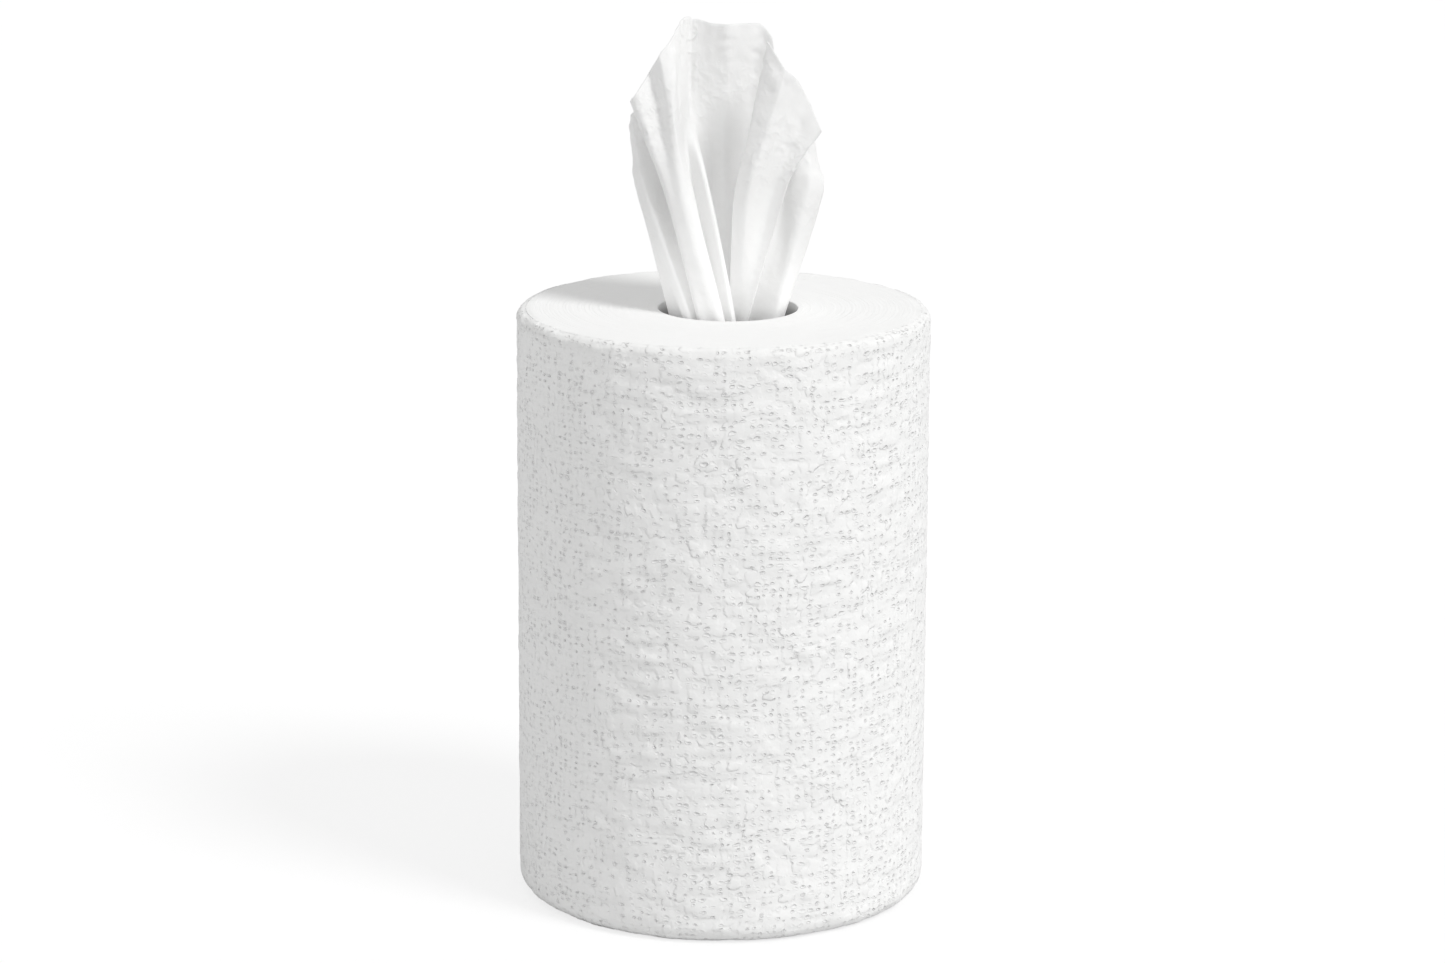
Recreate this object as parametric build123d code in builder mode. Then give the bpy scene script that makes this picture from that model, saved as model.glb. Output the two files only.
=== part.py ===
from build123d import *
import math
import os

# A coreless roll of paper towelling, stood on its end, with its first towel drawn up
# out of the bore and fanned open. Millimetres, +Z up, origin under the roll's centre.

# The web: one long strip of soft tissue, torn into towels across its width.
WEB_WIDTH = 249.0
SHEET_THICKNESS = 0.46  # what one wound turn adds to the radius, and the thickness of the sheet

# The roll, and the bore that the towels are drawn through.
ROLL_RADIUS = 85.5
RIM_TOP = 3.9
RIM_FOOT = 7.3
RIM_BANDS = 4  # the wound edges round each rim in so many narrow bands
BORE_RADIUS = 28.5
BORE_SHIFT = 1.9  # the bore stands this far off the roll's centre, along X
TAIL_AZIMUTH = 60.0  # where the last turn ends, behind the roll

# The wound edge shows on both ends as one fine spiral furrow.
FURROW_PITCH = 9.0
FURROW_WIDTH = 0.9
FURROW_DEPTH = 0.3

# The leading towel: a bundle of loose pleats in the bore, a fan above it.
BUNDLE_LENGTH = 69.0  # from the roll's top down to the towel's foot
BUNDLE_SEAT = 0.8  # between the outermost fold and the wall; the curve between two folds stands prouder
FOOT_ROOM = 5.0  # the wider stretch of the bore starts this far below the foot
MOUTH_REACH = 28.0
NECK_DEPTH = 11.0  # from the mouth down to where the pleats draw together
NECK_LEAD = 0.12
MITRE_LEAST = 0.6  # where the sheet turns sharply its mitre grows no longer than one over this
FAN_REACH = 39.0
FAN_MIDDLE = 51.0  # above the mouth
FAN_HEIGHT = 118.5
UPPER_SHARE = 0.42  # the upper station, as a share of the way from middle to tip

# The folds in order along the web, from the raw edge in front round to the one behind.
# Each has four stations: x, y at the mouth, as shares of MOUTH_REACH; x, y at the middle
# and at the upper station, as shares of FAN_REACH; and its tip, with its share of FAN_HEIGHT.
# A fold whose upper station lies on the line from middle to tip is marked straight there.
STRAIGHT = None
FOLDS = [
    ((0.31, -0.66), (0.59, -0.45), (0.70, -0.44), (0.97, -0.36, 0.64)),  # raw edge
    ((0.27, -0.60), (0.48, -0.38), STRAIGHT, (0.85, -0.23, 0.73)),  # flap, its valley
    ((0.23, -0.54), (0.36, -0.43), STRAIGHT, (0.72, -0.26, 0.81)),
    ((0.17, -0.45), (0.20, -0.54), STRAIGHT, (0.57, -0.36, 0.86)),  # flap, its crest
    ((0.02, -0.36), (0.08, -0.42), STRAIGHT, (0.41, -0.13, 0.94)),  # flap, folded under
    ((0.12, -0.24), (0.12, -0.28), STRAIGHT, (0.47, 0.02, 0.88)),
    ((0.36, -0.26), (0.35, -0.21), STRAIGHT, (0.63, 0.03, 0.79)),  # layer behind the flap
    ((0.53, -0.38), (0.61, -0.12), STRAIGHT, (0.78, 0.03, 0.69)),
    ((0.71, -0.48), (0.83, -0.23), STRAIGHT, (0.88, 0.05, 0.60)),  # right side
    ((0.86, -0.14), (1.00, 0.03), STRAIGHT, (0.92, 0.23, 0.55)),
    ((0.75, 0.27), (0.82, 0.31), STRAIGHT, (0.63, 0.33, 0.66)),
    ((0.55, 0.16), (0.61, 0.40), STRAIGHT, (0.50, 0.31, 0.78)),  # back, its right pleat
    ((0.42, 0.48), (0.37, 0.38), STRAIGHT, (0.46, 0.36, 0.93)),  # back, its corner
    ((0.17, 0.54), (0.14, 0.42), STRAIGHT, (0.31, 0.41, 0.98)),
    ((0.04, 0.20), (-0.03, 0.32), STRAIGHT, (0.07, 0.49, 0.98)),  # back, its low ridge
    ((-0.18, 0.24), (-0.18, 0.36), (-0.22, 0.44), (-0.18, 0.51, 0.98)),
    ((-0.18, -0.22), (-0.29, 0.09), (-0.33, 0.32), (-0.33, 0.47, 0.99)),
    ((0.10, -0.72), (-0.20, -0.17), (-0.37, 0.25), (-0.39, 0.42, 0.99)),  # third pleat
    ((0.05, -0.79), (-0.23, -0.22), (-0.41, 0.18), (-0.42, 0.36, 1.00)),
    ((-0.09, -0.58), (-0.36, -0.03), (-0.45, 0.08), (-0.47, 0.29, 1.00)),
    ((-0.17, -0.62), (-0.41, -0.06), (-0.50, 0.00), (-0.52, 0.20, 0.99)),
    ((-0.06, -0.83), (-0.39, -0.34), (-0.53, -0.20), (-0.57, 0.08, 0.96)),
    ((-0.13, -0.90), (-0.42, -0.45), (-0.56, -0.33), (-0.63, -0.03, 0.93)),  # second pleat
    ((-0.23, -0.87), (-0.50, -0.48), STRAIGHT, (-0.74, -0.12, 0.89)),
    ((-0.32, -0.84), (-0.57, -0.44), STRAIGHT, (-0.83, -0.02, 0.83)),  # shallow groove
    ((-0.42, -0.82), (-0.65, -0.41), STRAIGHT, (-1.00, -0.20, 0.75)),  # first pleat
    ((-0.45, -0.74), (-0.68, -0.32), STRAIGHT, (-1.03, -0.14, 0.73)),
    ((-0.38, -0.57), (-0.63, -0.16), STRAIGHT, (-0.99, -0.08, 0.72)),
    ((-0.46, -0.53), (-0.70, -0.08), STRAIGHT, (-0.96, -0.02, 0.70)),
    ((-0.54, -0.73), (-0.88, -0.24), STRAIGHT, (-1.02, 0.01, 0.68)),  # left ridge
    ((-0.66, -0.66), (-0.95, -0.13), STRAIGHT, (-1.04, 0.08, 0.65)),
    ((-0.68, -0.40), (-0.97, -0.02), STRAIGHT, (-1.05, 0.18, 0.63)),
    ((-0.88, -0.21), (-0.97, 0.10), STRAIGHT, (-1.02, 0.31, 0.64)),  # left side
    ((-0.78, 0.21), (-0.86, 0.35), STRAIGHT, (-0.89, 0.46, 0.75)),
    ((-0.48, 0.46), (-0.58, 0.51), STRAIGHT, (-0.65, 0.62, 0.85)),
    ((-0.14, 0.68), (-0.29, 0.58), STRAIGHT, (-0.35, 0.72, 0.93)),
    ((0.18, 0.77), (-0.02, 0.58), STRAIGHT, (-0.08, 0.69, 0.91)),  # raw edge behind
]
STATION_BANDS = 2  # bands of flat panels between two stations, above the mouth
PANEL_WIDTH = 4.5  # about this wide halfway up the fan

wide_bore = BORE_RADIUS + SHEET_THICKNESS  # where the innermost turn has gone with the towel
foot_level = WEB_WIDTH - BUNDLE_LENGTH


def spaced(points):
    """Parameters that grow with the square root of each step between the points."""
    marks = [0.0]
    for start, end in zip(points, points[1:]):
        marks.append(marks[-1] + math.sqrt((Vector(end) - Vector(start)).length))
    return [mark / marks[-1] for mark in marks]


def through(points, counts):
    """Places on the curve through the points, dividing each span into its own count."""
    marks = spaced(points)
    curve = Edge.make_spline(points, parameters=marks)
    shares = [
        start + (end - start) * step / count
        for start, end, count in zip(marks, marks[1:], counts)
        for step in range(count)
    ]
    return [curve.position_at(share) for share in shares + [1.0]]


def fold_stations(mouth, middle, upper, tip):
    """One fold's stations: foot, neck, mouth, middle, upper station and torn tip."""
    at_mouth = Vector(BORE_SHIFT + mouth[0] * MOUTH_REACH, mouth[1] * MOUTH_REACH, WEB_WIDTH)
    at_middle = Vector(BORE_SHIFT + middle[0] * FAN_REACH, middle[1] * FAN_REACH, WEB_WIDTH + FAN_MIDDLE)
    at_tip = Vector(BORE_SHIFT + tip[0] * FAN_REACH, tip[1] * FAN_REACH, WEB_WIDTH + tip[2] * FAN_HEIGHT)
    at_upper = at_middle + (at_tip - at_middle) * UPPER_SHARE
    if upper is not STRAIGHT:
        at_upper = Vector(BORE_SHIFT + upper[0] * FAN_REACH, upper[1] * FAN_REACH, at_upper.Z)
    drawn_in = at_mouth + (at_mouth - at_middle) * NECK_LEAD
    at_neck = Vector(drawn_in.X, drawn_in.Y, WEB_WIDTH - NECK_DEPTH)
    widest = max(math.hypot(*fold[0]) for fold in FOLDS)
    swell = (wide_bore - BUNDLE_SEAT - SHEET_THICKNESS / 2) / widest
    at_foot = Vector(BORE_SHIFT + mouth[0] * swell, mouth[1] * swell, foot_level)
    return [at_foot, at_neck, at_mouth, at_middle, at_upper, at_tip]


def level_way(start, end):
    """The level direction from one point to the next."""
    return Vector(end.X - start.X, end.Y - start.Y, 0).normalized()


def beside(row, offset):
    """A row of the sheet moved sideways on the level, mitred where it turns."""
    moved = []
    for place, point in enumerate(row):
        before = level_way(row[place - 1], point) if place else level_way(point, row[1])
        after = level_way(point, row[place + 1]) if point is not row[-1] else before
        along = (before + after).normalized()
        stretch = offset / max(along.dot(before), MITRE_LEAST)
        moved.append(point + Vector(-along.Y, along.X, 0) * stretch)
    return moved


def panels(low, high):
    """Two flat panels for each span between two rows of points."""
    for left, right, over_left, over_right in zip(low, low[1:], high, high[1:]):
        yield Face(Wire.make_polygon([left, right, over_right]))
        yield Face(Wire.make_polygon([left, over_right, over_left]))


def rim(side, level, radius):
    """The rim's rounding at one end, from the roll's side in to its end face."""
    toward_end = 1 if level else -1
    for band in range(RIM_BANDS + 1):
        turn = math.radians(90 * band / RIM_BANDS)
        out = ROLL_RADIUS - radius + radius * math.cos(turn)
        yield (side * out, level - toward_end * radius * (1 - math.sin(turn)))


# The wound roll: every turn of the web, in one solid.
tail_plane = Plane.XZ.rotated((0, 0, TAIL_AZIMUTH))
furrow_start = BORE_RADIUS + BORE_SHIFT + FURROW_PITCH / 2
furrow_turns = int((ROLL_RADIUS - RIM_FOOT - furrow_start) / FURROW_PITCH)

with BuildPart() as wound_roll:
    # Two half turns about two centres make the last turn, so that it ends in a step at its tail.
    for side, drift in ((1, 0), (-1, SHEET_THICKNESS / 2)):
        with BuildSketch(tail_plane):
            with BuildLine():
                Polyline(
                    (drift, WEB_WIDTH),
                    (drift, 0),
                    *reversed(list(rim(side, 0, RIM_FOOT))),
                    *rim(side, WEB_WIDTH, RIM_TOP),
                    close=True,
                )
            make_face()
        revolve(axis=Axis(tail_plane.x_dir * drift, (0, 0, 1)), revolution_arc=180)
    for side, drift in ((1, 0), (-1, FURROW_PITCH / 2)):
        with BuildSketch(tail_plane):
            for turn in range(furrow_turns):
                middle = side * (furrow_start + turn * FURROW_PITCH)
                for level, deep in ((0, FURROW_DEPTH), (WEB_WIDTH, WEB_WIDTH - FURROW_DEPTH)):
                    Polygon(
                        (middle - FURROW_WIDTH / 2, level),
                        (middle, deep),
                        (middle + FURROW_WIDTH / 2, level),
                        align=None,
                    )
        revolve(axis=Axis(tail_plane.x_dir * drift, (0, 0, 1)), revolution_arc=180, mode=Mode.SUBTRACT)
    # The bore is clear up to just below the towel's foot, and one turn wider above it.
    with BuildSketch(Plane.XY):
        with Locations((BORE_SHIFT, 0)):
            Circle(BORE_RADIUS)
    extrude(amount=WEB_WIDTH, mode=Mode.SUBTRACT)
    with BuildSketch(Plane.XY.offset(foot_level - FOOT_ROOM)):
        with Locations((BORE_SHIFT, 0)):
            Circle(wide_bore)
    extrude(amount=BUNDLE_LENGTH + FOOT_ROOM, mode=Mode.SUBTRACT)
wound_roll.part.label = "wound_roll"

# The leading towel: one sheet, creased along the folds into flat panels.
bands = [1, 1, STATION_BANDS, STATION_BANDS, STATION_BANDS]
columns = [through(fold_stations(*fold), bands) for fold in FOLDS]
middle_row = list(zip(*columns))[sum(bands[:3])]
widths = [(end - start).length for start, end in zip(middle_row, middle_row[1:])]
rows = [through(row, [math.ceil(width / PANEL_WIDTH) for width in widths]) for row in zip(*columns)]
front = [beside(row, SHEET_THICKNESS / 2) for row in rows]
behind = [beside(row, -SHEET_THICKNESS / 2) for row in rows]
skin = []
for face_rows in (front, behind):
    for low, high in zip(face_rows, face_rows[1:]):
        skin += panels(low, high)
skin += panels(front[0], behind[0])
skin += panels(front[-1], behind[-1])
for end in (0, -1):
    skin += panels([row[end] for row in front], [row[end] for row in behind])
with BuildPart() as leading_towel:
    add(Solid(Shell(skin)))
leading_towel.part.label = "leading_towel"

os.makedirs("parts", exist_ok=True)
export_step(wound_roll.part, "parts/wound_roll.step")
export_step(leading_towel.part, "parts/leading_towel.step")
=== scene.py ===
# %% [markdown]
# # A paper towel roll with its first towel drawn out
# The real thing is one long web of soft white paper, embossed and wound into a roll with no
# card core. It stands on its end, and the towels are pulled out of the hole in its middle. The
# first one stands up out of that hole in loose pleats. This lesson dresses the engineer's
# solids with two surfaces worked out in numpy, the roll and the towel, then paints them with
# procedural paper and lights them as on a plain white table.

import bpy
import numpy as np
from mathutils import Matrix, Vector


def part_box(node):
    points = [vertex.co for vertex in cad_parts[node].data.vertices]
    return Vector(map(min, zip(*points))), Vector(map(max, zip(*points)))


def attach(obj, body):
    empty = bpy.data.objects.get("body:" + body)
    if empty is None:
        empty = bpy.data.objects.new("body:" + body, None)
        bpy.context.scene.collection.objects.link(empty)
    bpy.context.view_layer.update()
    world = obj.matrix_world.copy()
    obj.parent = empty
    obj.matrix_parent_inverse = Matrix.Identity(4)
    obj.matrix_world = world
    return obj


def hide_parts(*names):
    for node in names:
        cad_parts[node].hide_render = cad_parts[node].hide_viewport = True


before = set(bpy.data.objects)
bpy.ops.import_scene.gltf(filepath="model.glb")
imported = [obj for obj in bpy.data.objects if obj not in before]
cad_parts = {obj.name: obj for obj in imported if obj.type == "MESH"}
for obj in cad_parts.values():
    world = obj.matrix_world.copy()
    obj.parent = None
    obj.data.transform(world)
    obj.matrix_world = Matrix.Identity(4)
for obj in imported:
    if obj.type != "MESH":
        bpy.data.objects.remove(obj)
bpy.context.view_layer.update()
print("the solids:", sorted(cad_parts))

# %% [markdown]
# ## Sizes
# Blender works in metres and paper is measured in millimetres, so one constant turns one into
# the other. The sizes are those of the solids: a web 249 mm wide, a roll 171 mm across and a
# bore 57 mm across that stands a little off the middle, as it does when a roll is squeezed. The
# towel's foot is 69 mm down in the bore. From 5 mm below it upward the bore is one turn wider,
# because that turn is the towel. The height of the solid roll is printed beside them.

# %% The sizes of the roll and its web
MM = 0.001
WEB_WIDTH = 249 * MM
SHEET = 0.46 * MM
ROLL_RADIUS = 85.5 * MM
RIM_TOP = 3.9 * MM
RIM_FOOT = 7.3 * MM
BORE_RADIUS = 28.5 * MM
BORE_SHIFT = 1.9 * MM
BUNDLE_LENGTH = 69 * MM
FOOT_LEVEL = WEB_WIDTH - BUNDLE_LENGTH
FOOT_ROOM = 5 * MM
TAIL_AZIMUTH = np.radians(60)
roll_low, roll_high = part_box("wound_roll")
print("the solid roll is", round((roll_high[2] - roll_low[2]) / MM, 1), "mm high")

# %% [markdown]
# ## Chance relief
# Paper is never quite even. A sum of sine waves with chance directions and lengths gives a
# smooth unevenness that is the same in every run, because its random numbers have a seed. It
# works on whole arrays, so it costs one line wherever it is wanted.


# %% Smooth chance relief
def ripples(across, up, shortest, longest, seed, waves=24):
    """The sum of sine waves of chance direction, length and start, brought to about -1 to 1."""
    chance = np.random.default_rng(seed)
    turns = chance.uniform(0, 2 * np.pi, waves)
    lengths = shortest * (longest / shortest) ** chance.uniform(0, 1, waves)
    starts = chance.uniform(0, 2 * np.pi, waves)
    total = np.zeros(np.broadcast(across, up).shape)
    for turn, length, start in zip(turns, lengths, starts):
        total += np.sin(2 * np.pi * (across * np.cos(turn) + up * np.sin(turn)) / length + start)
    return total / np.sqrt(waves)


def eased(value, low, high):
    """0 below low, 1 above high, and the smooth step 3t^2 - 2t^3 between."""
    share = np.clip((value - low) / (high - low), 0, 1)
    return share * share * (3 - 2 * share)


# %% [markdown]
# ## From a grid to a mesh
# Both surfaces are grids of points with two parameters, so one function turns a grid into
# quads. It can join the last row or column to the first, and it writes a UV map that holds
# each point's place on the flat web. The paper's pattern then follows the sheet round every
# fold, as real embossing does.


# %% Grid to mesh
def grid_mesh(name, points, web, round_rows=False, round_columns=False):
    """One quad for each cell of a grid of points; web holds each point's place on the flat web."""
    rows, columns = points.shape[:2]
    number = np.arange(rows * columns).reshape(rows, columns)
    low = np.arange(rows if round_rows else rows - 1)
    left = np.arange(columns if round_columns else columns - 1)
    up, right = (low + 1) % rows, (left + 1) % columns
    corners = [(low, left), (low, right), (up, right), (up, left)]
    quads = np.stack([number[np.ix_(*corner)] for corner in corners], axis=-1).reshape(-1, 4)
    places = np.stack([web[np.ix_(*corner)] for corner in corners], axis=2).reshape(-1, 2)
    mesh = bpy.data.meshes.new(name)
    mesh.vertices.add(rows * columns)
    mesh.vertices.foreach_set("co", points.reshape(-1).astype(np.float32))
    mesh.loops.add(quads.size)
    mesh.loops.foreach_set("vertex_index", quads.reshape(-1).astype(np.int32))
    mesh.polygons.add(len(quads))
    mesh.polygons.foreach_set("loop_start", np.arange(0, quads.size, 4, dtype=np.int32))
    mesh.update(calc_edges=True)
    mesh.polygons.foreach_set("use_smooth", np.ones(len(quads), dtype=bool))
    mesh.uv_layers.new(name="web").data.foreach_set("uv", places.reshape(-1).astype(np.float32))
    mesh.validate()
    piece = bpy.data.objects.new(name, mesh)
    bpy.context.scene.collection.objects.link(piece)
    print(name, "has", len(quads), "quads")
    return piece


def vertex_value(piece, name, values):
    """Keeps one number for each point of the mesh under a name that a material can read."""
    layer = piece.data.attributes.new(name, "FLOAT", "POINT")
    layer.data.foreach_set("value", np.ascontiguousarray(values, dtype=np.float32).reshape(-1))


# %% [markdown]
# ## The embossing
# The rollers that emboss the paper press a lattice of small cells into it, 3.4 mm round the roll
# and 2.7 mm up it. Wound up turn on turn, the cells bed down on the ones below: patches of them
# sink together as terraces, and blocks and single ones stand proud. All of that is chance, so
# it is drawn once, as a table with one level for each cell. The corners of the lattice are moved
# a little by chance too, because real cells aren't quite square.

# %% The lattice and its levels
CELLS_ROUND = 156
CELLS_UP = 96
CELL = 2 * np.pi * ROLL_RADIUS / CELLS_ROUND
TERRACE_STEP = 0.12 * MM
BLOCK_STEP = 0.05 * MM
SINGLE_STEP = 0.06 * MM
CORNER_JITTER = 0.20


def cell_levels():
    """Level of each cell, rows round the roll and columns up it: smooth ripples rounded to whole
    terraces, a chance level for each block of two by two, and one for each cell."""
    chance = np.random.default_rng(5)
    size = (CELLS_ROUND, CELLS_UP)
    round_it, up_it = np.meshgrid(np.arange(CELLS_ROUND), np.arange(CELLS_UP), indexing="ij")
    slope = ripples(round_it + 0.5 * up_it, 1.3 * up_it - 0.4 * round_it, 4, 14, seed=14)
    blocks = np.kron(chance.choice([0, 0, 1], (CELLS_ROUND // 2, CELLS_UP // 2)), np.ones((2, 2)))
    level = TERRACE_STEP * np.round(1.3 * slope) + BLOCK_STEP * blocks
    level = level + SINGLE_STEP * chance.choice([-1, 0, 0, 0, 0, 1], size)
    return level - level.mean()


LEVEL = cell_levels()
CORNERS = (2, CELLS_ROUND + 1, CELLS_UP + 1)
JITTER = CORNER_JITTER * np.random.default_rng(6).uniform(-1, 1, CORNERS)
print("cells:", LEVEL.size, "from", round(LEVEL.min() / MM, 2), "to", round(LEVEL.max() / MM, 2), "mm")


def embossing(across, up):
    """The level of the cell that a place on the lattice lies in."""
    cell = np.clip(np.floor(across), 0, CELLS_ROUND - 1).astype(int)
    return LEVEL[cell, np.clip(np.floor(up), 0, CELLS_UP - 1).astype(int)]


def corner_jitter(part, across, up):
    """How far the nearest corner of the lattice is moved, in cells, round the roll or up it."""
    return JITTER[part, np.round(across).astype(int), np.round(up).astype(int)]


# %% [markdown]
# ## The wound roll
# A roll is a profile carried round an axis: up the bore, out over the top end, round the rim,
# down the wall and back under the foot. The rims are rounded by handling, the foot more than
# the top. A Screw modifier turns a profile as a lathe does, but it would come out the same at
# every angle, so the profile is turned in numpy, where each point can have its own relief.

# %% The roll's profile
MOUTH_SOFTNESS = 0.7 * MM
FOOT_ARC, TOP_ARC = RIM_FOOT * np.pi / 2, RIM_TOP * np.pi / 2
UPRIGHT = WEB_WIDTH - RIM_FOOT - RIM_TOP
WALL_LENGTH = FOOT_ARC + UPRIGHT + TOP_ARC


def wall_path(along):
    """A quarter circle, an upright and a quarter circle, from the foot to the face: the radius and
    height at a length along it, and the way out there."""
    foot_turn = np.clip(along / RIM_FOOT, 0, np.pi / 2)
    top_turn = np.clip((along - FOOT_ARC - UPRIGHT) / RIM_TOP, 0, np.pi / 2)
    rise = np.clip(along - FOOT_ARC, 0, UPRIGHT)
    radius = ROLL_RADIUS - RIM_FOOT * (1 - np.sin(foot_turn)) - RIM_TOP * (1 - np.cos(top_turn))
    height = RIM_FOOT * (1 - np.cos(foot_turn)) + rise + RIM_TOP * np.sin(top_turn)
    return radius, height, np.sin(foot_turn) * np.cos(top_turn), np.sin(top_turn) - np.cos(foot_turn)


def quarter(centre, radius, start, levels):
    """A quarter circle, clockwise from an angle in quarter turns: the radius and height of each
    point, and the way out there, which is the cosine and sine of its angle."""
    turn = (start - np.linspace(0, 1, levels)) * np.pi / 2
    way = np.stack([np.cos(turn), np.sin(turn)], axis=1)
    return np.hstack([np.array(centre) + radius * way, way])


def stretch(start, end, way, levels):
    """Points at equal steps along a straight run of the profile, its ends left to its
    neighbours: the radius and height of each, and the way out."""
    share = np.linspace(0, 1, levels + 2)[1:-1, None]
    places = np.array(start) * (1 - share) + np.array(end) * share
    return np.hstack([places, np.tile(way, (levels, 1))])


# %% The profile's other parts
wide = BORE_RADIUS + SHEET
ledge = FOOT_LEVEL - FOOT_ROOM
soft = MOUTH_SOFTNESS
face_edge, foot_edge = ROLL_RADIUS - RIM_TOP, ROLL_RADIUS - RIM_FOOT
before_wall = np.concatenate([
    stretch((BORE_RADIUS, soft), (BORE_RADIUS, ledge), (-1, 0), 3),
    [(BORE_RADIUS, ledge, -1, 0), (wide, ledge, -1, 0)],
    stretch((wide, ledge), (wide, WEB_WIDTH - soft), (-1, 0), 3),
    quarter((wide + soft, WEB_WIDTH - soft), soft, 2, 4),
    stretch((wide + soft, WEB_WIDTH), (face_edge, WEB_WIDTH), (0, 1), 16),
])
after_wall = np.concatenate([
    stretch((foot_edge, 0), (BORE_RADIUS + soft, 0), (0, -1), 4),
    quarter((BORE_RADIUS + soft, soft), soft, -1, 4),
])
print("the profile has", len(before_wall), "points before the wall and", len(after_wall), "after it")

# %% [markdown]
# ## The wall on its lattice
# The mesh's rows and columns on the wall are set on the lattice, two to a cell and close to its
# borders, so that few points give level cells with soft steps between them. Then the whole
# lattice is bent a little, as soft paper does, but not at the tail's edge, where the two ends of
# the last turn have to meet.

# %% The mesh's lines and how they bend
IN_CELL = np.array([0.13, 0.87])
SEAM_CELLS = 4
END_CELLS = 2
BEND = 0.30


def mesh_lines():
    """The mesh's columns and rows in cells: two in each cell, and one at each end of the web. The
    rows run from the top down, and off the wall they stay at its ends."""
    columns = (np.arange(CELLS_ROUND)[:, None] + IN_CELL).reshape(-1)
    columns = np.concatenate([[0], columns, [CELLS_ROUND]])
    on_wall = (np.arange(CELLS_UP)[::-1, None] + IN_CELL[::-1]).reshape(-1)
    top, foot = np.full(len(before_wall) + 1, CELLS_UP), np.zeros(len(after_wall))
    return np.broadcast_arrays(columns, np.concatenate([top, on_wall, foot])[:, None])


def inside(value, end, margin):
    """1 well inside the range from 0 to end, and less within a margin of either end."""
    return eased(value, 0, margin) * (1 - eased(value, end - margin, end))


def bends(columns, rows):
    """How far, in cells, each point is moved round the roll and up it: smooth ripples and the
    jitter of its corner, faded out at the tail and at both ends of the wall."""
    sway = BEND * ripples(columns, rows, 10, 28, seed=11) + corner_jitter(0, columns, rows)
    heave = BEND * ripples(columns, rows, 9, 26, seed=12) + corner_jitter(1, columns, rows)
    return sway * inside(columns, CELLS_ROUND, SEAM_CELLS), heave * inside(rows, CELLS_UP, END_CELLS)


# %% [markdown]
# ## The roll's surface
# The last turn makes the roll a spiral, so its radius grows by one sheet on the way round and
# drops back at the tail. The tail is pressed flat at the rim. The wall carries the levels of its
# cells and is a little slack, and on the ends some turns stand a little above others.

# %% The relief of the wall and of the ends
SLACK = 0.05 * MM
UNEVEN = 0.06 * MM
RIM_ROW_SHARE = 0.4
TAIL_PRESSED_FROM = 0.85


def wall_relief(columns, rows):
    """The level of each cell, and slow ripples over many of them."""
    return embossing(columns, rows) + SLACK * ripples(columns, rows, 9, 26, seed=14)


def end_relief(radius, angle):
    """Ripples that run with the turns, faded out at the mouth and at the rim."""
    fade = eased(radius, wide, wide + 3 * MM) * (1 - eased(radius, face_edge - 4 * MM, face_edge))
    return fade * UNEVEN * ripples(radius, 0.12 * ROLL_RADIUS * angle, 8 * MM, 20 * MM, seed=13)


# %% The roll
def wound_surface():
    """Turns the profile round: (r cos a, r sin a), about a centre that slides from the bore's to
    the roll's, with r growing by one sheet in a turn, and the relief added along the way out."""
    columns, rows = mesh_lines()
    sway, heave = bends(columns, rows)
    profile = np.stack(wall_path((rows + heave) * WALL_LENGTH / CELLS_UP))
    profile[:, : len(before_wall)] = before_wall.T[..., None]
    profile[:, -len(after_wall) :] = after_wall.T[..., None]
    radius, height, out, lift = profile
    on_wall = np.ones_like(radius)
    on_wall[: len(before_wall)] = on_wall[-len(after_wall) :] = 0
    on_wall[len(before_wall)] = RIM_ROW_SHARE
    turn = columns / CELLS_ROUND
    angle = TAIL_AZIMUTH + 2 * np.pi * (turn + sway * eased(radius, wide, foot_edge) / CELLS_ROUND)
    relief = on_wall * wall_relief(columns, rows)
    relief = relief + (1 - on_wall) * np.abs(lift) * end_relief(radius, angle)
    at_rim = eased(height, WEB_WIDTH - 3 * RIM_TOP, WEB_WIDTH - RIM_TOP)
    growth = SHEET * (turn - at_rim * eased(turn, TAIL_PRESSED_FROM, 1))
    grown = radius + growth * eased(radius, 0.6 * ROLL_RADIUS, 0.9 * ROLL_RADIUS) + relief * out
    centre = BORE_SHIFT * (1 - eased(radius, BORE_RADIUS, 0.9 * ROLL_RADIUS))
    level = np.maximum(height + relief * lift, 0)
    points = np.stack([centre + grown * np.cos(angle), grown * np.sin(angle), level], axis=-1)
    return points, np.stack([columns, rows], -1), on_wall


roll_points, roll_web, wall_share = wound_surface()
outward = slice(None, None, -1)
roll = grid_mesh("roll_of_paper", roll_points[:, outward], roll_web[:, outward], True, True)
vertex_value(roll, "wall", wall_share[:, outward])
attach(roll, "root")
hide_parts("wound_roll")

# %% [markdown]
# ## The drawn-out towel
# One sheet, 249 mm wide, pulled through a hole 57 mm across, has to gather into pleats. It is
# described as a dressmaker would: by its folds, in order across the sheet. Each fold is a line
# up the towel, through a few stations, and a smooth curve across all the folds at one height
# gives the sheet between them. The table is the one that the solids were made from, but for
# the free tips of the back wall, which stand a few millimetres deeper or nearer: the light and
# shade in that wall show it. Cloth simulation would crumple the sheet by chance, and these
# pleats have known places.

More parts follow.
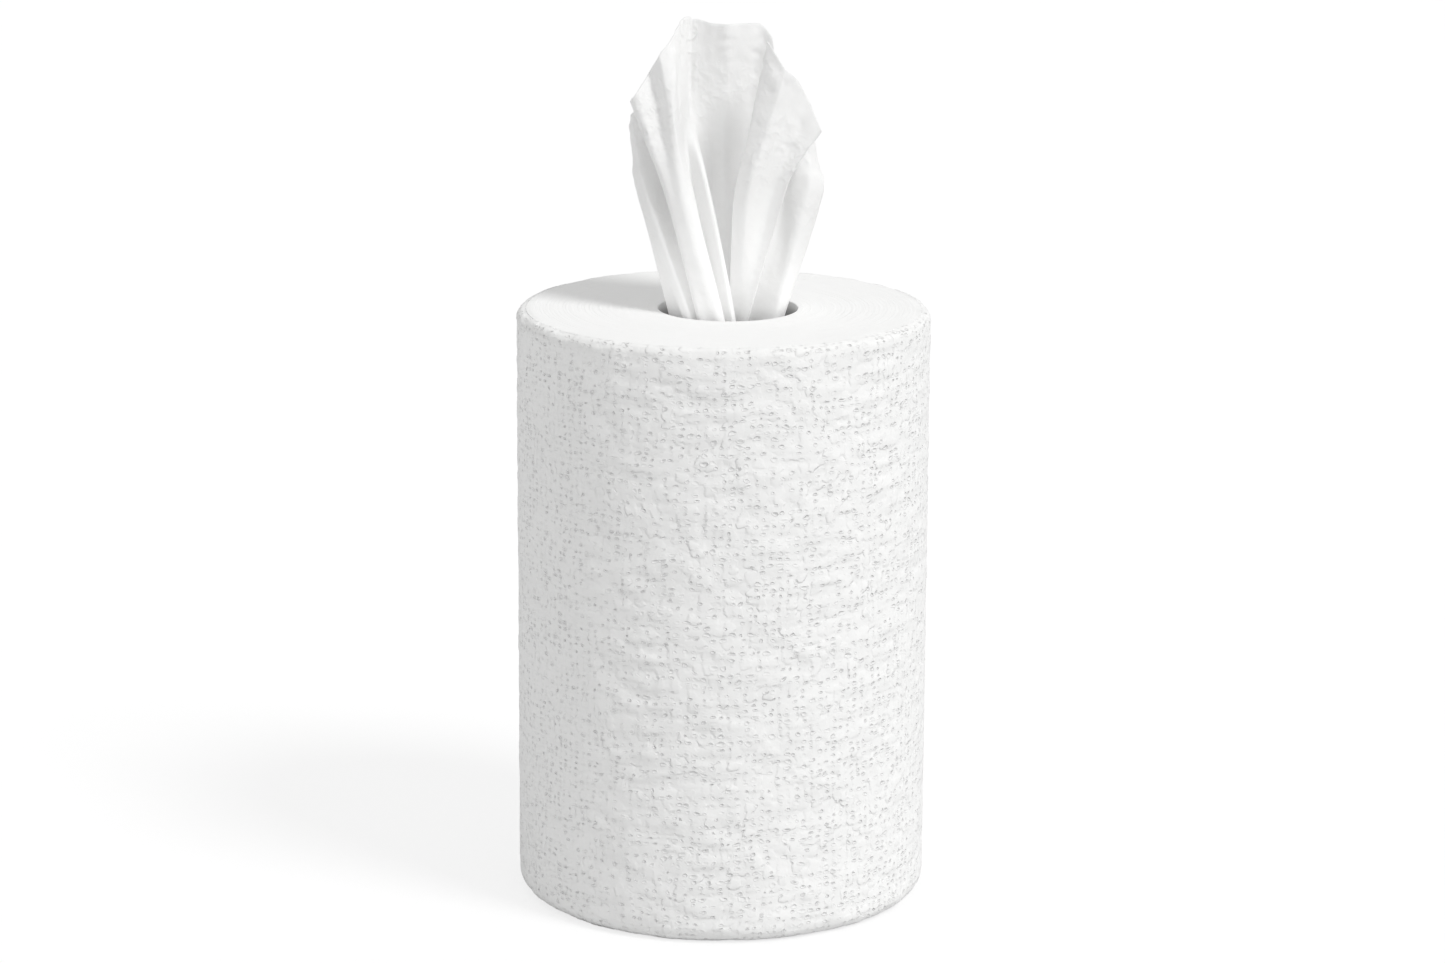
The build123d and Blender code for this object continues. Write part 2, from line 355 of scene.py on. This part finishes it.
# %% The folds
FOLD_SHARES = np.array([
    # mouth x, y; middle x, y; upper x, y; tip x, y; tip's share of the height
    (0.31, -0.66, 0.59, -0.45, 0.70, -0.44, 0.97, -0.36, 0.64),
    (0.27, -0.60, 0.48, -0.38, np.nan, np.nan, 0.85, -0.23, 0.73),
    (0.23, -0.54, 0.36, -0.43, np.nan, np.nan, 0.72, -0.26, 0.81),
    (0.17, -0.45, 0.20, -0.54, np.nan, np.nan, 0.57, -0.36, 0.86),
    (0.02, -0.36, 0.08, -0.42, np.nan, np.nan, 0.41, -0.13, 0.94),
    (0.12, -0.24, 0.12, -0.28, np.nan, np.nan, 0.47, 0.02, 0.88),
    (0.36, -0.26, 0.35, -0.21, np.nan, np.nan, 0.63, 0.03, 0.79),
    (0.53, -0.38, 0.61, -0.12, np.nan, np.nan, 0.78, 0.03, 0.69),
    (0.71, -0.48, 0.83, -0.23, np.nan, np.nan, 0.88, 0.05, 0.60),
    (0.86, -0.14, 1.00, 0.03, np.nan, np.nan, 0.92, 0.23, 0.55),
    (0.75, 0.27, 0.82, 0.31, np.nan, np.nan, 0.63, 0.33, 0.66),
    (0.55, 0.16, 0.61, 0.40, np.nan, np.nan, 0.50, 0.31, 0.78),
    (0.42, 0.48, 0.37, 0.38, np.nan, np.nan, 0.46, 0.36, 0.93),
    (0.17, 0.54, 0.14, 0.42, np.nan, np.nan, 0.31, 0.41, 0.98),
    (0.04, 0.20, -0.03, 0.32, np.nan, np.nan, -0.02, 0.30, 0.98),
    (-0.18, 0.24, -0.18, 0.36, -0.20, 0.35, -0.20, 0.38, 0.98),
    (-0.18, -0.22, -0.29, 0.09, -0.33, 0.33, -0.33, 0.46, 0.99),
    (0.10, -0.72, -0.20, -0.17, -0.38, 0.30, -0.39, 0.47, 0.99),
    (0.05, -0.79, -0.23, -0.22, -0.42, 0.25, -0.43, 0.45, 1.00),
    (-0.09, -0.58, -0.36, -0.03, -0.46, 0.13, -0.47, 0.38, 1.00),
    (-0.17, -0.62, -0.41, -0.06, -0.50, 0.00, -0.52, 0.26, 0.99),
    (-0.06, -0.83, -0.39, -0.34, -0.53, -0.20, -0.57, 0.08, 0.96),
    (-0.13, -0.90, -0.42, -0.45, -0.56, -0.33, -0.63, -0.03, 0.93),
    (-0.23, -0.87, -0.50, -0.48, np.nan, np.nan, -0.74, -0.12, 0.89),
    (-0.32, -0.84, -0.57, -0.44, np.nan, np.nan, -0.83, -0.02, 0.83),
    (-0.42, -0.82, -0.65, -0.41, np.nan, np.nan, -1.00, -0.20, 0.75),
    (-0.45, -0.74, -0.68, -0.32, np.nan, np.nan, -1.03, -0.14, 0.73),
    (-0.38, -0.57, -0.63, -0.16, np.nan, np.nan, -0.99, -0.08, 0.72),
    (-0.46, -0.53, -0.70, -0.08, np.nan, np.nan, -0.96, -0.02, 0.70),
    (-0.54, -0.73, -0.88, -0.24, np.nan, np.nan, -1.02, 0.01, 0.68),
    (-0.66, -0.66, -0.95, -0.13, np.nan, np.nan, -1.04, 0.08, 0.65),
    (-0.68, -0.40, -0.97, -0.02, np.nan, np.nan, -1.05, 0.18, 0.63),
    (-0.88, -0.21, -0.97, 0.10, np.nan, np.nan, -1.02, 0.31, 0.64),
    (-0.78, 0.21, -0.86, 0.35, np.nan, np.nan, -0.89, 0.46, 0.75),
    (-0.48, 0.46, -0.58, 0.51, np.nan, np.nan, -0.65, 0.62, 0.85),
    (-0.14, 0.68, -0.29, 0.58, np.nan, np.nan, -0.35, 0.72, 0.93),
    (0.18, 0.77, -0.02, 0.58, np.nan, np.nan, -0.08, 0.69, 0.91),
])
MOUTH_REACH = 28 * MM
FAN_REACH = 39 * MM
FAN_MIDDLE = 51 * MM
FAN_HEIGHT = 118.5 * MM
UPPER_SHARE = 0.42
NECK_DEPTH = 11 * MM
NECK_LEAD = 0.12
BUNDLE_SEAT = 0.8 * MM


def fold_stations(shares):
    """Each fold's six places: foot, neck, mouth, middle, upper and tip, found from its shares. An
    upper place that isn't given lies on the line from the middle to the tip."""
    mouth_xy, middle_xy, upper_xy, tip_xy = (shares[:, i : i + 2] for i in (0, 2, 4, 6))

    def at(level, offsets):
        places = np.concatenate([offsets, np.broadcast_to(level, (len(shares),))[:, None]], axis=1)
        return places + [BORE_SHIFT, 0, 0]

    mouth = at(WEB_WIDTH, mouth_xy * MOUTH_REACH)
    middle = at(WEB_WIDTH + FAN_MIDDLE, middle_xy * FAN_REACH)
    tip = at(WEB_WIDTH + shares[:, 8] * FAN_HEIGHT, tip_xy * FAN_REACH)
    upper = middle + UPPER_SHARE * (tip - middle)
    bent = ~np.isnan(upper_xy[:, 0])
    upper[bent, :2] = upper_xy[bent] * FAN_REACH + [BORE_SHIFT, 0]
    neck = mouth + NECK_LEAD * (mouth - middle)
    neck[:, 2] = WEB_WIDTH - NECK_DEPTH
    swell = (wide - BUNDLE_SEAT - SHEET / 2) / np.linalg.norm(mouth_xy, axis=1).max()
    foot = at(FOOT_LEVEL, mouth_xy * swell)
    return np.stack([foot, neck, mouth, middle, upper, tip], axis=1)


stations = fold_stations(FOLD_SHARES)
print(len(stations), "folds, the tallest tip at", round(stations[:, -1, 2].max() / MM, 1), "mm")

# %% [markdown]
# ## A smooth curve through points
# Paper bends smoothly, and a natural cubic spline is the curve a thin springy strip takes
# through its pins. Its only sums are one set of linear equations for the bend at each pin. The
# parameter grows with the square root of each step, which keeps the curve from looping where
# two pins are close, as at a tight fold.


# %% Splines for many curves at once
def root_marks(points):
    """A parameter for each point that grows with the square root of the step from the last."""
    steps = np.sqrt(np.linalg.norm(np.diff(points, axis=1), axis=2))
    return np.concatenate([np.zeros((len(points), 1)), np.cumsum(steps, axis=1)], axis=1)


def smooth_through(points, counts):
    """Natural cubics: the bends solve h0 b0 + 2(h0 + h1) b1 + h1 b2 = 6 (s1 - s0), and each span is
    then read at as many equal steps as its count."""
    marks = root_marks(points)
    step = np.diff(marks, axis=1)
    slope = np.diff(points, axis=1) / step[..., None]
    pins = points.shape[1]
    matrix = np.zeros((len(points), pins, pins))
    matrix[:, 0, 0] = matrix[:, -1, -1] = 1
    inner = np.arange(1, pins - 1)
    matrix[:, inner, inner - 1] = step[:, :-1]
    matrix[:, inner, inner] = 2 * (step[:, :-1] + step[:, 1:])
    matrix[:, inner, inner + 1] = step[:, 1:]
    right = np.zeros_like(points)
    right[:, 1:-1] = 6 * np.diff(slope, axis=1)
    bend = np.linalg.solve(matrix, right)
    span = np.concatenate([np.repeat(np.arange(pins - 1), counts), [pins - 2]])
    share = np.concatenate([*(np.arange(count) / count for count in counts), [1.0]])
    wide_step = step[:, span, None]
    along = share[None, :, None] * wide_step
    rest = wide_step - along
    straight = (points[:, span] * rest + points[:, span + 1] * along) / wide_step
    bulge = (
        bend[:, span] * (rest**3 / wide_step - rest * wide_step)
        + bend[:, span + 1] * (along**3 / wide_step - along * wide_step)
    ) / 6
    return straight, bulge


# %% [markdown]
# ## The sheet between the folds
# First each fold becomes a line up the towel, then each height becomes a line across all the
# folds. Between two folds the curve bulges less near the free edge, where the paper is flatter.

# %% The towel's surface
LEVELS = [26, 8, 44, 24, 40]
MIDDLE_LEVEL = sum(LEVELS[:3])
COLUMN_WIDTH = 0.93 * MM
BULGE_BELOW, BULGE_ABOVE = 0.75, 0.30
fold_lines = sum(smooth_through(stations, LEVELS))
middle_steps = np.linalg.norm(np.diff(fold_lines[:, MIDDLE_LEVEL], axis=0), axis=1)
columns = np.maximum(3, np.round(middle_steps / COLUMN_WIDTH)).astype(int)
row_share = np.linspace(0, 1, len(fold_lines[0]))[:, None, None]
straight, bulge = smooth_through(fold_lines.transpose(1, 0, 2), columns)
fullness = BULGE_BELOW + (BULGE_ABOVE - BULGE_BELOW) * eased(row_share, 0.45, 0.95)
sheet_grid = straight + bulge * fullness
print("the sheet has", sheet_grid.shape[1], "points across and", sheet_grid.shape[0], "up")

# %% [markdown]
# ## Measuring on the sheet
# What is drawn on paper keeps its size when the paper is folded, so patterns have to be laid out
# on the flat sheet. Its flat coordinates, across the web and up from the foot, are measured on
# the folded surface.


# %% Flat places, normals and room
WINDOW = 15


def flat_places(grid):
    """How far across the web and up the towel each point of the sheet lies, measured on it."""
    middle = grid[MIDDLE_LEVEL]
    across = np.concatenate([[0], np.cumsum(np.linalg.norm(np.diff(middle, axis=0), axis=1))])
    up = np.cumsum(np.linalg.norm(np.diff(grid, axis=0, prepend=grid[:1]), axis=2), axis=0)
    return np.broadcast_to(across, up.shape), up


def sheet_normals(grid):
    """The unit vector square to the sheet: the cross product of its two directions."""
    across, up = np.gradient(grid, axis=1), np.gradient(grid, axis=0)
    square = np.cross(across, up)
    return square / np.maximum(np.linalg.norm(square, axis=2, keepdims=True), 1e-12)


def room_between_folds(grid):
    """How wide the span between two folds is at each place, smoothed across the sheet by a
    rounded window of so many points."""
    owner = np.concatenate([np.repeat(np.arange(len(columns)), columns), [len(columns) - 1]])
    steps = np.linalg.norm(np.diff(grid, axis=1, append=grid[:, -1:]), axis=2)
    spans = np.stack([np.where(owner == n, steps, 0).sum(1) for n in range(len(columns))], axis=1)
    room = spans[:, owner]
    window = np.hanning(WINDOW)
    padded = np.pad(room, ((0, 0), (WINDOW // 2, WINDOW // 2)), mode="edge")
    return np.apply_along_axis(np.convolve, 1, padded, window / window.sum(), "valid")


# %% [markdown]
# ## Creases and crumples
# Paper that is pulled has long low creases that run with the pull, and small crumples near the
# torn edge, where fingers held it. Both are added along the sheet's normal, less of them where
# it is still held in the mouth, and hardly any where two layers lie close.

# %% The creased sheet
CREASE = 0.42 * MM
CRUMPLE = 0.24 * MM
CREASE_LENGTHS = (5 * MM, 14 * MM)
HELD_CREASE = 0.15
flat_across, flat_up = flat_places(sheet_grid)
free_share = eased(sheet_grid[..., 2], WEB_WIDTH - 4 * MM, WEB_WIDTH + 45 * MM)
near_edge = eased(flat_up / flat_up[-1:], 0.72, 0.98)
room = eased(room_between_folds(sheet_grid), 1.5 * MM, 8 * MM)
creases = ripples(flat_across, 0.16 * flat_up, *CREASE_LENGTHS, seed=21)
creases = creases * (HELD_CREASE + (1 - HELD_CREASE) * free_share)
crumples = 1 - 2 * np.abs(ripples(flat_across, 0.8 * flat_up, *CREASE_LENGTHS, seed=22))
drawn_in = np.linalg.norm(np.gradient(sheet_grid, axis=1), axis=2)
spread = np.clip(drawn_in / drawn_in[MIDDLE_LEVEL], 0, 1) ** 2
lift = room * spread * (CREASE * creases + CRUMPLE * crumples * near_edge)
towel_points = sheet_grid + lift[..., None] * sheet_normals(sheet_grid)
towel_web = np.stack([flat_across / CELL, flat_up * CELLS_UP / WALL_LENGTH], axis=-1)
print("towel: web across", round(flat_across.max() / MM), "mm, up", np.round(flat_up[-1, ::40] / MM))

# %% [markdown]
# ## Giving the sheet its thickness
# The grid has no thickness, so a Solidify modifier gives it that of two plies, half to each
# side. Its points keep three numbers for the paper's material: where fingers held it, how freely
# it hangs, and how deep between the pleats it is.

# %% The towel as a piece
towel = grid_mesh("drawn_towel", towel_points, towel_web)
way_up = flat_up / flat_up[-1:]
patches = ripples(flat_across, flat_up, 24 * MM, 60 * MM, seed=23)
vertex_value(towel, "held", eased(way_up, 0.60, 0.92) * eased(patches, -0.5, 0.7))
vertex_value(towel, "free", free_share)
above_mouth = eased(sheet_grid[..., 2], WEB_WIDTH - 6 * MM, WEB_WIDTH + 3 * MM)
vertex_value(towel, "deep", above_mouth * (1 - eased(way_up, 0.55, 0.80)))
thickness = towel.modifiers.new("two_plies", "SOLIDIFY")
thickness.thickness = SHEET
thickness.offset = 0
thickness.use_even_offset = False
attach(towel, "root")
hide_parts("leading_towel")

# %% [markdown]
# ## Shader sums in plain Python
# A material is a graph of nodes, and long graphs are hard to read. The first class below wraps
# a node's output, so that + and * between outputs add the Math nodes by themselves. The second
# holds a material and has one method that adds any other node: its kind, its settings, then
# what goes into its sockets.


# %% Wrapping nodes
class Flow:
    """A node's output. Arithmetic on it adds Math nodes and gives a new output."""

    def __init__(self, finish, socket):
        self.finish, self.socket = finish, socket

    def math(self, operation, *others):
        return self.finish.node("Math", {"operation": operation}, dict(enumerate([self, *others])))

    def vector(self, operation, *others):
        return self.finish.node("VectorMath", {"operation": operation}, dict(enumerate([self, *others])))

    def __add__(self, other):
        return self.math("ADD", other)

    def __sub__(self, other):
        return self.math("SUBTRACT", other)

    def __mul__(self, other):
        return self.math("MULTIPLY", other)

    def __truediv__(self, other):
        return self.math("DIVIDE", other)

    def __rsub__(self, other):
        return self.finish.node("Math", {"operation": "SUBTRACT"}, {0: other, 1: self})

    __radd__ = __add__
    __rmul__ = __mul__

    def above(self, limit):
        return self.math("GREATER_THAN", limit)

    def length(self):
        return self.finish.node("VectorMath", {"operation": "LENGTH"}, {0: self}, 1)

    def eased(self, low, high):
        """0 below low, 1 above high and the smooth step between, as eased() does for arrays."""
        settings = {"interpolation_type": "SMOOTHSTEP"}
        return self.finish.node("MapRange", settings, {0: self, 1: low, 2: high})


class Finish:
    """A material, or the world, under construction."""

    def __init__(self, name, holder=None):
        self.holder = holder or bpy.data.materials.new(name)
        self.holder.use_nodes = True
        self.holder.node_tree.nodes.clear()

    def node(self, kind, settings=None, inputs=None, output=0):
        """Adds a node of a kind, sets it, fills or links its sockets and gives one output."""
        made = self.holder.node_tree.nodes.new("ShaderNode" + kind)
        for key, value in (settings or {}).items():
            setattr(made, key, value)
        for place, value in (inputs or {}).items():
            if isinstance(value, Flow):
                self.holder.node_tree.links.new(value.socket, made.inputs[place])
            else:
                made.inputs[place].default_value = value
        return Flow(self, made.outputs[output]) if made.outputs else None

    def split(self, vector):
        parts = self.node("SeparateXYZ", None, {0: vector})
        return [Flow(self, parts.socket.node.outputs[i]) for i in range(3)]

    def join(self, x, y, z=0.0):
        return self.node("CombineXYZ", None, {0: x, 1: y, 2: z})

    def noise(self, vector, scale, detail=2.0, output=0):
        return self.node("TexNoise", None, {"Vector": vector, "Scale": scale, "Detail": detail}, output)

    def chance(self, vector, output=0):
        return self.node("TexWhiteNoise", {"noise_dimensions": "3D"}, {"Vector": vector}, output)

    def kept(self, name):
        """A number that the mesh keeps for each point."""
        return self.node("Attribute", {"attribute_name": name}, output=2)

    def mix(self, share, first, second):
        """Mixes two colours. A Mix node has sockets of one name for each kind of data, so they are
        picked by place: the factor is 0, the colours are 6 and 7, their result is 2."""
        return self.node("Mix", {"data_type": "RGBA"}, {0: share, 6: first, 7: second}, 2)

    def bump(self, relief):
        """The normal of a relief given in millimetres."""
        return self.node("Bump", None, {"Strength": 1.0, "Distance": 0.001, "Height": relief})


def grey(level, yellow=0.0):
    """A grey, a little less blue where it is yellowed."""
    return (level, level, level - yellow, 1)


# %% [markdown]
# ## The emboss in the paper
# The finest part of the pattern is too small for the mesh, so a bump carries it. Each cell is a
# low cushion with a level of its own, on a terrace that it shares with its neighbours. Where
# a proud cell meets a low one its rim bulges over it, and where four rims meet they leave a
# pit. The bump reads the UV map, which counts cells, so it follows the sheet. A Voronoi texture
# has such cells too, but its borders are straight, and these are scalloped.

# %% The cushions
WANDER = 0.65
TERRACE_LEVELS = 7
TERRACE_HEIGHT = 0.21
CELL_HEIGHT = 0.15
CUSHION_RIM = (0.26, 0.78)


def cushions(finish, place, corner):
    """The height in mm: the mean of the levels of the four cells round the nearest corner, each
    weighed by a smooth step down with the distance from its middle and by its level squared."""
    total, weights = 0.001, 0.001
    for right, rise in ((-0.5, -0.5), (0.5, -0.5), (-0.5, 0.5), (0.5, 0.5)):
        middle = corner.vector("ADD", (right, rise, 0.0))
        patch = finish.noise(middle.vector("MULTIPLY", (1.4, 0.95, 0.0)), 0.40, 1.0)
        terrace = (patch * TERRACE_LEVELS).math("ROUND") * TERRACE_HEIGHT
        level = terrace + finish.chance(middle) * CELL_HEIGHT
        away = place.vector("SUBTRACT", middle).vector("MULTIPLY", (1.0, 0.85, 0.0)).length()
        weight = (1 - away.eased(*CUSHION_RIM)) * level * level
        total, weights = total + weight * level, weights + weight
    return total / weights


# %% The pits
LIP_HEIGHT = 0.16
LIP_MIDDLE = 2.2
LIP_WIDTH = 1.4
PIT_DEPTH = 0.30
NO_PIT_SHARE = 0.15


def corner_pits(finish, place, corner):
    """A slanting ellipse near each corner, its size, slant and depth by chance: x and y from its
    middle are divided by its half-lengths, and the sum of their squares grows outward. The pit is
    1 less that sum, and the lip is a tent over a ring of it. Both are from 0 to 1."""
    size, slant, there = finish.split(finish.chance(corner, output=1))
    there = ((there - NO_PIT_SHARE) * 1.5).math("MAXIMUM", 0.0)
    right, rise, _ = finish.split(place.vector("SUBTRACT", corner))
    x = (right + 0.3 * slant - 0.15 - rise * (1.6 * slant - 0.2)) / (0.16 + 0.14 * size)
    y = (right * (1.2 * slant - 0.2) + rise + 0.2 * size - 0.1) / (0.14 + 0.10 * size)
    reach = x * x + y * y
    lip = 1 - (reach - LIP_MIDDLE).math("ABSOLUTE") / LIP_WIDTH
    return (1 - reach).math("MAXIMUM", 0.0) * there, lip.math("MAXIMUM", 0.0) * there


# %% The whole emboss
def fine_emboss(finish, web):
    """The height in mm of the cushions and their lips less the pits, on a lattice that wanders a
    little, and the pits alone."""
    drift = finish.noise(web, 1.1, 1.0, output=1).vector("SUBTRACT", (0.5, 0.5, 0.5))
    place = web.vector("ADD", drift.vector("MULTIPLY", (WANDER, WANDER, 0.0)))
    corner = place.vector("ADD", (0.5, 0.5, 0.0)).vector("FLOOR").vector("MULTIPLY", (1.0, 1.0, 0.0))
    pits, lips = corner_pits(finish, place, corner)
    return cushions(finish, place, corner) + lips * LIP_HEIGHT - pits * PIT_DEPTH, pits


# %% [markdown]
# ## The roll's paper
# White tissue has no shine and no colour of its own: what shows is its relief, a cloudy
# unevenness where the fibres lie thicker, and the shade in its pits, which is painted into the
# colour. On the ends only the edges of the turns show, as fine rings and strands, so there the
# emboss gives way to them. The top rim and the ends are painted a little greyer, a painted shade
# that tones down the light they catch. Little light reaches down the hole, so its wall is painted
# darker from the mouth down.

# %% The roll's paper
FIBRE_SCALE = 1400.0
CLOUD_SCALE = 24.0
RING_MIDDLE = 1.2 * MM
RING_SCALE, RING_DRIFT = 900, 12
STRAND_SCALE, STRAND_DRIFT = 300, 60
EMBOSS_LEVEL = 0.8
RING_HEIGHT = 0.34
STRAND_HEIGHT = 0.30
FIBRE_HEIGHT = 0.03
RIM_PAINTED_SHADE = 0.26
ENDS_PAINTED_SHADE = 0.12
PIT_SHADE = 0.14
BORE_SHADE = 0.75
BORE_SIDE = BORE_RADIUS + 1.2 * MM
SHADE_DEPTHS = (0.4 * MM, 6 * MM)


def roll_paper():
    """Embossed paper on the wall, rings on the ends, painted shade on the rim, the ends and in the pits,
    and a bore painted dark.
    """
    finish = Finish("wound_paper")
    web = finish.node("UVMap", {"uv_map": "web"})
    wall = finish.kept("wall")
    place = finish.node("TexCoord", output=3)
    x, y, z = finish.split(place)
    radius = ((x - RING_MIDDLE) * (x - RING_MIDDLE) + y * y).math("SQRT")
    ring_place = finish.join(radius * RING_SCALE, x * RING_DRIFT, y * RING_DRIFT)
    strand_place = finish.join(radius * STRAND_SCALE, x * STRAND_DRIFT, y * STRAND_DRIFT)
    ends = finish.noise(ring_place, 1.0, 3.0) * RING_HEIGHT
    ends = ends + finish.noise(strand_place, 1.0) * STRAND_HEIGHT
    fibre = finish.noise(place, FIBRE_SCALE)
    emboss, pits = fine_emboss(finish, web)
    relief = (emboss - EMBOSS_LEVEL) * wall + ends * (1 - wall) + fibre * FIBRE_HEIGHT
    cloud = finish.noise(place, CLOUD_SCALE, 3.0)
    paper = finish.mix(cloud, grey(0.885, 0.005), grey(0.93, 0.005))
    # painted shade: the top rim and the ends are mixed toward grey
    edge = z.eased(WEB_WIDTH - 1.8 * RIM_TOP, WEB_WIDTH - 0.6 * RIM_TOP) * wall
    paper = finish.mix(edge * RIM_PAINTED_SHADE + (1 - wall) * ENDS_PAINTED_SHADE, paper, grey(0.74, 0.01))
    # painted shade: the pits are mixed toward a darker grey
    paper = finish.mix(pits * wall * PIT_SHADE, paper, grey(0.45, 0.01))
    bore = (BORE_SIDE - radius).above(0.0)
    depth = (WEB_WIDTH - z).eased(*SHADE_DEPTHS)
    colour = finish.mix(bore * depth * BORE_SHADE, paper, grey(0.25))
    sockets = {
        "Base Color": colour,
        "Roughness": 0.86 + 0.12 * fibre,
        "Specular IOR Level": 0.25,
        "Normal": finish.bump(relief),
    }
    finish.node("OutputMaterial", None, {"Surface": finish.node("BsdfPrincipled", None, sockets)})
    return finish.holder


roll.data.materials.append(roll_paper())

# %% [markdown]
# ## The towel's paper
# One towel is thin enough to let light through, so some of the shader is Translucent, which
# scatters light out of the far side. More comes through where the sheet hangs free than where
# its layers lie close, and there its colour is painted a little greyer, a painted shade. Between
# the pleats light goes to and fro many times more than a picture can follow, and a little
# Emission stands for it, a painted light that also lifts the free sheet faintly. The embossing is
# pulled nearly flat here, and soft folds and crinkles show instead, the crinkles mostly where
# fingers held the edge.

# %% The towel's paper
THIN_SHARE = 0.4
FREE_GLOW = 0.125
DEEP_GLOW = 0.12
THROUGH_LEAST, THROUGH_MORE = 0.12, 0.43
PULLED_EMBOSS = 0.10
FOLD_SCALE, CRINKLE_SCALE, THICK_SCALE = 60.0, 130.0, 30.0
FOLD_HEIGHT = 1.2
CRINKLE_HEIGHT, HELD_CRINKLE = 0.10, 0.55


def towel_paper():
    """Soft folds and crinkles on paper that lets some light through."""
    finish = Finish("towel_paper")
    web = finish.node("UVMap", {"uv_map": "web"})
    place = finish.node("TexCoord", output=3)
    fibre = finish.noise(place, FIBRE_SCALE)
    fold = finish.noise(place, FOLD_SCALE)
    crinkle = 1 - (finish.noise(place, CRINKLE_SCALE) - 0.5).math("ABSOLUTE") * 5
    emboss, _ = fine_emboss(finish, web)
    relief = emboss * PULLED_EMBOSS + fold * FOLD_HEIGHT + fibre * FIBRE_HEIGHT
    relief = relief + crinkle * (CRINKLE_HEIGHT + HELD_CRINKLE * finish.kept("held"))
    bump = finish.bump(relief)
    free = finish.kept("free") * THIN_SHARE
    cloud = finish.noise(place, THICK_SCALE, 3.0)
    # the colour varies at random, and where the sheet hangs free it is painted greyer, a painted shade
    single = finish.mix(cloud, grey(0.86, 0.005), grey(0.91, 0.005))
    free_glow = finish.mix(free, grey(0.0), grey(FREE_GLOW))
    sockets = {
        "Base Color": finish.mix(free, grey(0.97, 0.005), single),
        "Roughness": 0.86 + 0.12 * fibre,
        "Specular IOR Level": 0.25,
        "Emission Color": finish.mix(finish.kept("deep"), free_glow, grey(DEEP_GLOW)),
        "Emission Strength": 1.0,
        "Normal": bump,
    }
    front = finish.node("BsdfPrincipled", None, sockets)
    through = finish.node("BsdfTranslucent", None, {"Color": grey(0.92), "Normal": bump})
    share = THROUGH_LEAST + THROUGH_MORE * free
    thin = finish.node("MixShader", None, {0: share, 1: front, 2: through})
    finish.node("OutputMaterial", None, {"Surface": thin})
    return finish.holder


towel.data.materials.append(towel_paper())

# %% [markdown]
# ## The table
# The picture is a product shot on a white table that runs out of sight. A table that is only
# lit would be grey or would swallow the roll's shadow. So it shows the camera a third of its own
# shading and two thirds plain white, which keeps the shadow and lets the table go white, and to
# all other light it is matt paint. A Light Path node tells the two apart.


# %% What sees the table
def seen_directly(finish):
    """1 for a ray from the camera, a mirror or clear glass, and 0 for other light."""
    ways = finish.node("LightPath").socket.node.outputs
    camera, glossy = Flow(finish, ways["Is Camera Ray"]), Flow(finish, ways["Is Glossy Ray"])
    glass = Flow(finish, ways["Is Transmission Ray"])
    return camera.math("MAXIMUM", glossy).math("MAXIMUM", glass)


# %% The table
TABLE_REACH = 12.0
TABLE_GREY = 0.72
PLAIN_LEVEL = 1.15
PLAIN_SHARE = 0.65
signs = ((-1, -1), (1, -1), (1, 1), (-1, 1))
table_corners = [(x * TABLE_REACH, y * TABLE_REACH, 0) for x, y in signs]
floor_mesh = bpy.data.meshes.new("table_top")
floor_mesh.from_pydata(table_corners, [], [(0, 1, 2, 3)])
floor = bpy.data.objects.new("table_top", floor_mesh)
bpy.context.scene.collection.objects.link(floor)
paint = Finish("table_white")
matt = paint.node("BsdfDiffuse", None, {"Color": grey(TABLE_GREY)})
plain = paint.node("Emission", None, {"Color": grey(1), "Strength": PLAIN_LEVEL})
mixed = paint.node("MixShader", None, {0: seen_directly(paint) * PLAIN_SHARE, 1: matt, 2: plain})
paint.node("OutputMaterial", None, {"Surface": mixed})
floor.data.materials.append(paint.holder)

# %% [markdown]
# ## The light
# An even white sky fills every fold, as a light tent does, and one soft lamp from the right,
# above and in front gives the shading. The two together light white paper to just under white.
# A sun lamp's light is the same all over, and its angle sets how soft the shadows are.

# %% The sky and the lamp
SKY_LEVEL = 0.65
LAMP_LEVEL = 0.50
LAMP_AZIMUTH, LAMP_HEIGHT = np.radians(53), np.radians(50)
LAMP_ANGLE = np.radians(16)
world = bpy.data.worlds.new("even_sky")
bpy.context.scene.world = world
sky = Finish("even_sky", world)
sky_strength = SKY_LEVEL + seen_directly(sky) * (1 - SKY_LEVEL)
glow = sky.node("Background", None, {"Color": grey(1), "Strength": sky_strength})
sky.node("OutputWorld", None, {"Surface": glow})
lamp_data = bpy.data.lights.new("soft_lamp", "SUN")
lamp_data.energy = LAMP_LEVEL * np.pi
lamp_data.angle = LAMP_ANGLE
lamp = bpy.data.objects.new("soft_lamp", lamp_data)
bpy.context.scene.collection.objects.link(lamp)
level_reach = np.cos(LAMP_HEIGHT)
toward = (
    level_reach * np.sin(LAMP_AZIMUTH), -level_reach * np.cos(LAMP_AZIMUTH), np.sin(LAMP_HEIGHT)
)
lamp.rotation_mode = "QUATERNION"
lamp.rotation_quaternion = Vector(toward).to_track_quat("Z", "Y")

# %% [markdown]
# ## The camera
# The camera was found from the roll itself: the ellipses of its two ends and its sides fix where
# the lens was, how far it looked down and how long it was. The lens is given in pixels of a
# picture 1445 pixels wide, which turns into millimetres on a sensor of any width.

# %% The camera
CAMERA_PLACE = (0.0, -1.771, 0.6097)
CAMERA_PITCH = 0.241
CAMERA_ROLL = 0.005
LENS_PIXELS = 4353.9
PICTURE_PIXELS = 1445
SENSOR_MM = 36
camera_data = bpy.data.cameras.new("camera")
camera_data.sensor_width = SENSOR_MM
camera_data.lens = LENS_PIXELS * SENSOR_MM / PICTURE_PIXELS
camera = bpy.data.objects.new("camera", camera_data)
bpy.context.scene.collection.objects.link(camera)
camera.matrix_world = (
    Matrix.Translation(CAMERA_PLACE)
    @ Matrix.Rotation(np.pi / 2 - CAMERA_PITCH, 4, "X")
    @ Matrix.Rotation(CAMERA_ROLL, 4, "Z")
)
bpy.context.scene.camera = camera
bpy.context.scene.view_settings.view_transform = "Standard"
print("the lens is", round(camera_data.lens, 1), "mm long")
